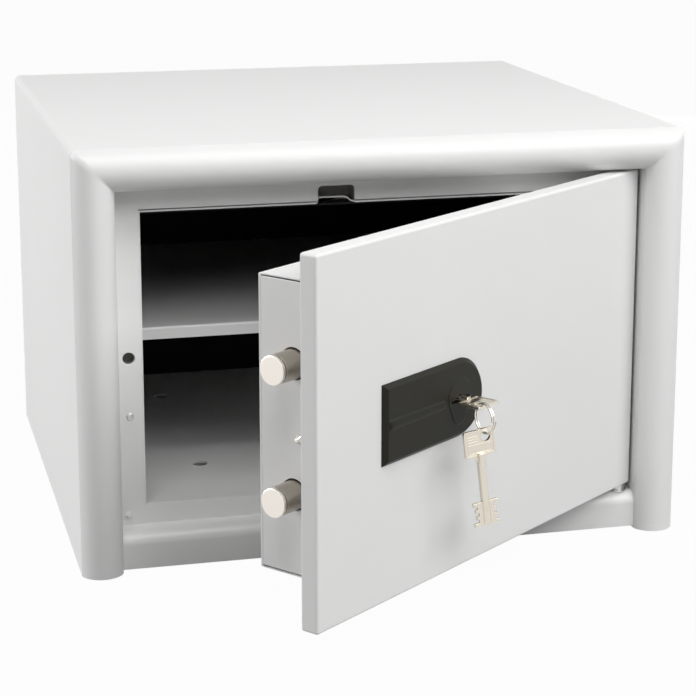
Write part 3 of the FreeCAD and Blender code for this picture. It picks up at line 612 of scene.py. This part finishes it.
def wrap_line(inset):
    """The bent sheet's line in XZ: along the bottom, up the hinge side and back along the top."""
    bend, start = box_bend - inset, box_left + wrap_seam
    low, high, right = box_low + inset, box_top - inset, box_right - inset
    line = [(start, low)] + arc(right - bend, low + bend, bend, 270, 360, 6)
    return line + arc(right - bend, high - bend, bend, 0, 90, 6) + [(start, high)]


strip = wrap_line(0.0) + wrap_line(wrap_sheet)[::-1]
rings = [[(x, y, z) for x, z in strip] for y in (door_back, box_rear)]
fitted("box_wrap", skinned("box_wrap", rings, "bridge"), light_coat, "door", ["lock_box"], ajar)
side = [rounded(-box_rear, -door_back, box_low + side_seam, box_top - side_seam, 0.5, 3),
        circle(-pin_depth, pin_z, pin_hole, 24)]
side += [circle(-bolt_y, level, bolt_hole) for level in bolt_levels]
fitted("box_side", flat_cut("box_side", side, plate_sheet, 0.3), light_coat, "door", (),
       ajar @ Matrix.Translation((box_left + plate_sheet, 0, 0)) @ LEFT)
cover_face = ajar @ Matrix.Translation((0, box_rear + plate_sheet, 0))
cover = flat_cut("box_cover_plate", [rounded(box_left, box_right, box_low, box_top, 1.2)], plate_sheet, 0.5)
fitted("box_cover_plate", cover, light_coat, "door", ["box_cover"], cover_face @ FRONT)
spots = [(-x, z, 0) for x in (box_left + screw_inset, box_right - screw_inset)
         for z in (box_low + screw_inset, box_top - screw_inset)]
screws = repeated("cover_screw_heads", cross_head("cover_screw", screw_radius, screw_rise), spots, zinc, 0.7)
fitted("cover_screw_heads", screws, zinc, "door", ["cover_screws"], cover_face @ BACK)


# Bolts: turned steel bars, nickel plated, with a groove behind the polished end.
# They are screwed to a bent bar inside the box, slide in bored guides and leave it by the side plate's holes.
bolt_length, bolt_radius, groove_floor = 64.0, 10.0, 8.5
tip = bolt_length - 2.6
bolt_profile = [(0, 0), (bolt_radius - 0.5, 0), (bolt_radius, 0.5), (bolt_radius, tip - 1.25),
                (bolt_radius - 0.15, tip - 1.1), (groove_floor, tip - 1.05), (groove_floor, tip - 0.05),
                (bolt_radius - 0.15, tip), (bolt_radius, tip + 0.15), (bolt_radius, bolt_length - 0.75),
                (bolt_radius - 0.2, bolt_length - 0.3), (bolt_radius - 0.65, bolt_length - 0.05),
                (bolt_radius - 1.0, bolt_length), (0, bolt_length)]
bolt_finish = metal("turned_nickel_plate", (0.50, 0.46, 0.40), (0.40, 0.365, 0.31), 0.30, (2.2, 0, 0))
nodes, link = bolt_finish.node_tree.nodes, bolt_finish.node_tree.links.new
on_end = nodes.new("ShaderNodeAttribute")
on_end.attribute_name = "polished_end"
polish = nodes.new("ShaderNodeMix")
polish.data_type = "RGBA"
polish.inputs["B"].default_value = (0.82, 0.77, 0.71, 1)
link(on_end.outputs["Fac"], polish.inputs["Factor"])
link(nodes["tint"].outputs["Result"], polish.inputs["A"])
link(polish.outputs["Result"], nodes["Principled BSDF"].inputs["Base Color"])
bar = turned("bolt", bolt_profile, 72)
bar.attributes.new("polished_end", "FLOAT", "POINT").data.foreach_set(
    "value", [1.0 if v.co.z > tip - 0.02 else 0.0 for v in bar.vertices])
spots = [(-bolt_y, level, 0) for level in bolt_levels]
fitted("bolts", repeated("bolts", bar, spots, bolt_finish), bolt_finish, "boltwork",
       ["upper_bolt", "lower_bolt"], ajar @ Matrix.Translation((door_free + bolt_length, 0, 0)) @ LEFT, 25)
finish_solids(bare_steel, "bolt_bar", "bolt_screws")
blued_steel = coated("oil_blacked_steel", (0.022, 0.021, 0.020), (0.014, 0.014, 0.014), 0.5, 900.0, 0.00004)
finish_solids(blued_steel, "bolt_guides")


# Catch pin: a small turned cone riveted into the side plate, bright nickel plated.
# It finds its hole in the jamb as the door shuts.
bright_nickel = metal("bright_nickel_plate", (0.80, 0.77, 0.71), (0.68, 0.65, 0.59), 0.16, (2.0, 0, 0))
cone = [(0, -2.0), (3.2, -2.0), (3.2, 0.25), (3.05, 0.45), (1.35, 2.85), (1.0, 3.1), (0.5, 3.2), (0, 3.2)]
fitted("catch_cone", turned("catch_cone", cone, 40), bright_nickel, "door", ["catch_pin"],
       ajar @ Matrix.Translation((box_left, pin_depth, pin_z)) @ LEFT)


# Lock: a steel case with seven brass levers behind a hardened plate, closed by a screwed cover.
# It sits inside the box and is seen only through the keyhole.
lever_brass = coated("lever_brass", (0.72, 0.55, 0.26), (0.62, 0.46, 0.20), 0.30, 900.0, 0.00003,
                     [("Metallic", 1.0)])
finish_solids(lever_brass, "levers")
finish_solids(bare_steel, "drill_plate", "lock_case", "lock_cover", "case_screws", "lever_pivot",
              "lever_springs", "lock_rotor", "escutcheon_screws")


# Escutcheon: one black plastic moulding with a bevelled rim, square at one end and round at the other.
# A soft rib leads to the keyhole, which sits on a low egg-shaped boss. Two screws hold it from inside.
black_plastic = coated("black_moulded_plastic", (0.014, 0.0135, 0.0085), (0.011, 0.0105, 0.0068), 0.44,
                       1800.0, 0.00004, [("Specular IOR Level", 0.17)])
plate_left, plate_half, plate_thick, round_offset = door_free + 68.0, 28.0, 3.8, 2.4
boss_top_radius, boss_top_offset, boss_low_radius, boss_low_offset = 13.5, 2.0, 9.0, 9.0
root = plate_thick - 0.8


def plate_line(inset):
    """The plate's outline, drawn in by an inset."""
    half = plate_half - inset
    line = arc(key_x + round_offset, key_z, half, -90, 90, 40)
    return line + [(plate_left + inset, key_z + half), (plate_left + inset, key_z - half)]


levels = [(0.0, 0.0), (0.0, 0.6), (0.12, 0.85), (0.4, 1.1), (2.75, 3.45), (3.1, 3.68), (3.6, plate_thick)]
plate = skinned("plate", [[(x, y, level) for x, y in plate_line(inset)] for inset, level in levels])


def rib_ring(along, half, rise):
    """One section of the rib: a low hump with rounded shoulders, rooted in the plate."""
    x = plate_left + along
    ring = [(x, key_z - half, root)]
    for k in range(17):
        across = -1 + k / 8
        ring.append((x, key_z + half * across, plate_thick + rise * (1 - abs(across) ** 3.2)))
    return ring + [(x, key_z + half, root)]


rib_sections = [(4.0, 2.3, 0.1), (4.4, 3.2, 0.55), (5.2, 3.8, 0.95), (6.6, 4.1, 1.2), (9.0, 4.2, 1.3),
                (64.0, 3.5, 1.3), (65.8, 3.4, 1.15), (66.8, 3.2, 0.6), (67.0, 3.0, 0.1)]
rib = skinned("rib", [rib_ring(*sizes) for sizes in rib_sections])


def egg(shrink, rise):
    """The boss's outline: a large circle above the keyhole drawn down to a small one below it."""
    lean = math.degrees(math.asin((boss_top_radius - boss_low_radius) / (boss_top_offset + boss_low_offset)))
    line = arc(key_x, key_z + boss_top_offset, boss_top_radius - shrink, -lean, 180 + lean, 28)
    line += arc(key_x, key_z - boss_low_offset, boss_low_radius - shrink, 180 + lean, 360 - lean, 28)
    return [(x, y, plate_thick + rise) for x, y in line]


boss = skinned("boss", [egg(-0.25, -0.6), egg(-0.25, 0.02), egg(0.0, 0.18), egg(0.35, 0.4), egg(0.9, 0.5)])


def joined(name, *meshes):
    """Several meshes as one."""
    work = bmesh.new()
    for mesh in meshes:
        work.from_mesh(mesh)
    mesh = bpy.data.meshes.new(name)
    work.to_mesh(mesh)
    work.free()
    return mesh


moulding = carve(joined("escutcheon_moulding", plate, rib, boss), keyhole("plate_keyhole", -1.0, 9.0))
fitted("escutcheon_moulding", moulding, black_plastic, "door", ["escutcheon"],
       ajar @ Matrix.Translation((0, door_front, 0)) @ FRONT, 24)


# Keys: double-bit lock keys of nickel-plated brass. A flat pressed bow with ribs and a plain panel
# is set in a round shank, and the bit has steps cut in both edges.
key_length, key_neck, shank_radius = 69.5, 5.7, 3.0
bow_half, bow_length, bow_thick, bow_corner = 11.6, 19.0, 1.7, 1.5
hole_x, hole_y, hole_radius = 4.8, 5.6, 3.6
bit_length, bit_half, bit_thick, step_gap = 17.5, 9.6, 2.4, 0.12
tongue_half, tongue_thick = 2.1, 5.9
panel_side, bow_rib_half, bow_rib_pitch, relief_low = 9.2, 0.4, 1.9, 0.6
steps_of_bit = (1.0, 0.66, 0.86, 0.58, 0.78, 0.62, 1.0)
key_nickel = metal("nickel_silver", (0.80, 0.75, 0.66), (0.66, 0.61, 0.52), 0.24, (5.0, 0.25, 5.0))


def lifted(mesh, rise):
    """A mesh moved along Z."""
    mesh.transform(Matrix.Translation((0, 0, rise)))
    return mesh


def bow_relief(hole_line):
    """What is pressed up on both faces of a bow: a rim, a plain panel, a collar and three short ribs."""
    rim = [rounded(-bow_half + 0.1, bow_half - 0.1, 0.1, bow_length - 0.1, 1.4),
           rounded(-bow_half + 1.5, bow_half - 1.5, 1.9, bow_length - 1.5, 0.9)]
    panel = [rounded(-panel_side, panel_side, 10.0, 17.0, 0.9), rounded(-8.4, 8.4, 10.8, 16.2, 0.6)]
    collar = [circle(hole_x, hole_y, hole_radius + 0.6), hole_line]
    pieces = []
    for side in (-1, 1):
        for line, high in ((rim, 1.1), (panel, 1.02), (collar, 1.05)):
            raised = lifted(flat_cut("raised", line, high - relief_low, 0.12, 1), relief_low)
            if side < 0:
                raised.transform(Matrix.Scale(-1, 4, (0, 0, 1)))
            pieces.append(raised)
        low, high = sorted((relief_low * side, 1.05 * side))
        for number in range(3):
            y = 4.4 + bow_rib_pitch * number
            for x0, x1 in ((-panel_side, -0.4), (panel_side, 9.9)):
                corners = (x0, y - bow_rib_half, low), (x1, y + bow_rib_half, high)
                pieces.append(slab("rib", *corners, 0.15, 2))
    return pieces


def bit_line():
    """A bit's outline, stepped along both edges."""
    pitch = bit_length / len(steps_of_bit)
    right, left = [], []
    for number, (one, other) in enumerate(zip(steps_of_bit, reversed(steps_of_bit))):
        start = key_length - bit_length + pitch * number
        for y in (start + step_gap, start + pitch - step_gap):
            right.append((bit_half * other, y))
            left.append((-bit_half * one, y))
    return right + left[::-1]


def key_mesh(name):
    """A key lying in XY: its bow's end at y = 0, its bit at the far end, its faces towards Z."""
    side, end = bow_half - bow_corner, bow_length - bow_corner
    shoulder, throat = bow_length + 1.2, bow_length + 4.0
    neck = [(-6.4, bow_length), (-4.6, shoulder), (-3.3, throat)]
    bow_line = arc(side, bow_corner, bow_corner, 0, -90, 4)
    bow_line += arc(-side, bow_corner, bow_corner, -90, -180, 4) + arc(-side, end, bow_corner, 180, 90, 4)
    bow_line += neck + [(-x, y) for x, y in reversed(neck)] + arc(side, end, bow_corner, 90, 0, 4)
    hole_line = circle(hole_x, hole_y, hole_radius)
    bow = lifted(flat_cut("bow", [bow_line, hole_line], bow_thick, 0.25), -bow_thick / 2)
    stem = [(0, 16.5), (2.4, 16.5), (2.6, bow_length + 1.0), (shank_radius, throat),
            (shank_radius, key_length - 0.6), (2.6, key_length), (0, key_length)]
    shank = turned("shank", stem, 40)
    shank.transform(Matrix.Rotation(math.radians(-90), 4, "X"))
    tongue_end = arc(0, bow_length + 5.0, tongue_half, 0, 180, 14)
    tongue_line = [(tongue_half, 17.0), *tongue_end, (-tongue_half, 17.0)]
    tongue = lifted(flat_cut("tongue", [tongue_line], tongue_thick, 0.35), -tongue_thick / 2)
    bit = lifted(flat_cut("bit", [bit_line()], bit_thick, 0.2), -bit_thick / 2)
    key = joined(name, bow, *bow_relief(hole_line), shank, tongue, bit)
    key.attributes.remove(key.attributes["drawn_at"])
    return keep_drawn(key, [v.co for v in key.vertices])


bow_end = door_front - plate_thick - key_neck - bow_length
fitted("lock_key_visual", key_mesh("lock_key_visual"), key_nickel, "key", ["lock_key"],
       ajar @ Matrix.Translation((key_x, bow_end, key_z)) @ Matrix.Rotation(math.pi, 4, "Y"))


# Key ring: a split ring of spring-steel wire wound in two turns and nickel plated.
# It passes through the holes in both bows and joins the two keys.
ring_radius, wire_radius, ring_rise, ring_turns = 10.5, 0.55, 3.2, 2.0
ring_yaw, ring_side = math.radians(-110), 7.5
ring_drop = math.sqrt(ring_radius**2 - ring_side**2)
ring_centre = Vector((key_x - hole_x + ring_side * math.cos(ring_yaw),
                      bow_end + hole_y + ring_side * math.sin(ring_yaw), key_z - ring_drop))


def ring_tree():
    """Winds a wire round a circle for a number of turns and closes its ends."""
    tree = bpy.data.node_groups.new("wound_ring", "GeometryNodeTree")
    face = tree.interface
    face.new_socket("Start", in_out="INPUT", socket_type="NodeSocketGeometry")
    for size in ("Ring radius", "Wire radius", "Rise", "Turns"):
        face.new_socket(size, in_out="INPUT", socket_type="NodeSocketFloat")
    face.new_socket("Finish", in_out="INPUT", socket_type="NodeSocketMaterial")
    face.new_socket("Ring", in_out="OUTPUT", socket_type="NodeSocketGeometry")
    node, link = tree.nodes.new, tree.links.new
    inputs, outputs = node("NodeGroupInput"), node("NodeGroupOutput")
    coil = node("GeometryNodeCurveSpiral")
    coil.inputs["Resolution"].default_value = 64
    wire = node("GeometryNodeCurvePrimitiveCircle")
    wire.inputs["Resolution"].default_value = 16
    sweep = node("GeometryNodeCurveToMesh")
    sweep.inputs["Fill Caps"].default_value = True
    real = node("GeometryNodeRealizeInstances")
    finish = node("GeometryNodeSetMaterial")
    link(inputs.outputs["Ring radius"], coil.inputs["Start Radius"])
    link(inputs.outputs["Ring radius"], coil.inputs["End Radius"])
    link(inputs.outputs["Rise"], coil.inputs["Height"])
    link(inputs.outputs["Turns"], coil.inputs["Rotations"])
    link(inputs.outputs["Wire radius"], wire.inputs["Radius"])
    link(coil.outputs["Curve"], sweep.inputs["Curve"])
    link(wire.outputs["Curve"], sweep.inputs["Profile Curve"])
    link(sweep.outputs["Mesh"], real.inputs["Geometry"])
    link(real.outputs["Geometry"], finish.inputs["Geometry"])
    link(inputs.outputs["Finish"], finish.inputs["Material"])
    link(finish.outputs["Geometry"], outputs.inputs["Ring"])
    return tree


values = {"Ring radius": ring_radius, "Wire radius": wire_radius, "Rise": ring_rise, "Turns": ring_turns,
          "Finish": bright_nickel}
ring = grown("key_ring_wire", ring_tree(), values, bpy.data.meshes.new("ring_start"))
keep_drawn(ring, [(v.co.z * 3.0, 0, 0) for v in ring.vertices])
fitted("key_ring_wire", lifted(ring, -ring_rise / 2), bright_nickel, "ring", ["key_ring"],
       ajar @ Matrix.Translation(ring_centre) @ Matrix.Rotation(ring_yaw, 4, "Z") @ FRONT)


# Spare key: a second key, pressed and cut like the first and of the same plated brass.
# It hangs from the ring by the hole in its bow.
spare_yaw, spare_lean, spare_seat = math.radians(-28), math.radians(-7), 1.5
spare_hole = ring_centre - Vector((0, 0, ring_radius + hole_radius - wire_radius - spare_seat))
fitted("spare_key_visual", key_mesh("spare_key_visual"), key_nickel, "spare", ["spare_key"],
       ajar @ Matrix.Translation(spare_hole) @ Matrix.Rotation(spare_yaw, 4, "Z")
       @ Matrix.Rotation(spare_lean, 4, "Y") @ Matrix.Rotation(math.radians(-90), 4, "X")
       @ Matrix.Translation((-hole_x, -hole_y, 0)))


# Studio: a pale paper floor that keeps a faint shadow, and a white surround that gives little light.
# Four broad soft lamps light the safe: above, to the left, in front on the right and low behind it.
floor_half = 6.0


def rays_seen(tree, *rays):
    """Is 1 for rays of the named kinds, and 0 for the rays that carry light on."""
    path = tree.nodes.new("ShaderNodeLightPath")
    seen = path.outputs[rays[0]]
    for ray in rays[1:]:
        either = tree.nodes.new("ShaderNodeMath")
        either.operation = "MAXIMUM"
        tree.links.new(seen, either.inputs[0])
        tree.links.new(path.outputs[ray], either.inputs[1])
        seen = either.outputs[0]
    return seen


floor_mesh = bpy.data.meshes.new("studio_floor")
floor_mesh.from_pydata([(-floor_half, -floor_half, 0), (floor_half, -floor_half, 0),
                        (floor_half, floor_half, 0), (-floor_half, floor_half, 0)], [], [(0, 1, 2, 3)])
paper = bpy.data.materials.new("studio_paper")
paper.use_nodes = True
nodes, link = paper.node_tree.nodes, paper.node_tree.links.new
matt = nodes["Principled BSDF"]
matt.inputs["Base Color"].default_value = (0.36, 0.36, 0.36, 1)
matt.inputs["Roughness"].default_value = 0.9
matt.inputs["Specular IOR Level"].default_value = 0.0
glow = nodes.new("ShaderNodeEmission")
share = nodes.new("ShaderNodeMath")
share.operation = "MULTIPLY"
share.inputs[1].default_value = 0.97
link(rays_seen(paper.node_tree, "Is Camera Ray", "Is Glossy Ray"), share.inputs[0])
blend = nodes.new("ShaderNodeMixShader")
link(share.outputs[0], blend.inputs["Fac"])
link(matt.outputs[0], blend.inputs[1])
link(glow.outputs[0], blend.inputs[2])
link(blend.outputs[0], nodes["Material Output"].inputs["Surface"])
floor_mesh.materials.append(paper)
held("studio_floor", floor_mesh)

world = bpy.data.worlds.new("studio_world")
bpy.context.scene.world = world
world.use_nodes = True
nodes, link = world.node_tree.nodes, world.node_tree.links.new
sky = nodes["Background"]
sky.inputs["Color"].default_value = (1, 1, 1, 1)
level = nodes.new("ShaderNodeMapRange")
level.inputs["To Min"].default_value = 0.03
level.inputs["To Max"].default_value = 1.0
white_to = rays_seen(world.node_tree, "Is Camera Ray", "Is Glossy Ray", "Is Transmission Ray")
link(white_to, level.inputs["Value"])
link(level.outputs["Result"], sky.inputs["Strength"])


def soft_lamp(name, at, aim, size, power):
    """A rectangular lamp that looks from one point to another, in metres and watts."""
    lamp = bpy.data.lights.new(name, "AREA")
    lamp.shape = "RECTANGLE"
    lamp.size, lamp.size_y = size
    lamp.energy = power
    holder = held(name, lamp)
    holder.location = at
    holder.rotation_euler = (Vector(aim) - Vector(at)).to_track_quat("-Z", "Y").to_euler()


soft_lamp("overhead_lamp", (-0.15, -1.1, 2.0), (0, -0.15, 0.15), (1.4, 0.8), 20.0)
soft_lamp("left_lamp", (-2.3, 0.5, 0.9), (0, 0, 0.15), (1.2, 1.4), 37.0)
soft_lamp("front_right_lamp", (1.178, -1.552, 1.564), (0.05, -0.3, 0.15), (2.6, 1.1), 43.5)
soft_lamp("rear_lamp", (1.1, 1.9, 0.16), (0.1, 0.2, 0.16), (1.8, 0.28), 9.0)


# Camera: a long lens in front of the safe, above it and a little to its left, looking down at it.
# A small shift of the picture lets the camera tilt less, so that upright lines lean in less.
tilt, heading = math.radians(12.86), -0.2454
lens = bpy.data.cameras.new("photo_camera")
lens.sensor_width, lens.lens = 36.0, 106.81
lens.shift_y = -0.1
lens.clip_end = 100.0
photo_camera = held("photo_camera", lens)
photo_camera.location = (-0.393953, -1.662344, 0.557457)
photo_camera.rotation_euler = (math.radians(90) - tilt, 0.0, heading)
bpy.context.scene.camera = photo_camera
bpy.context.scene.view_settings.view_transform = "Standard"
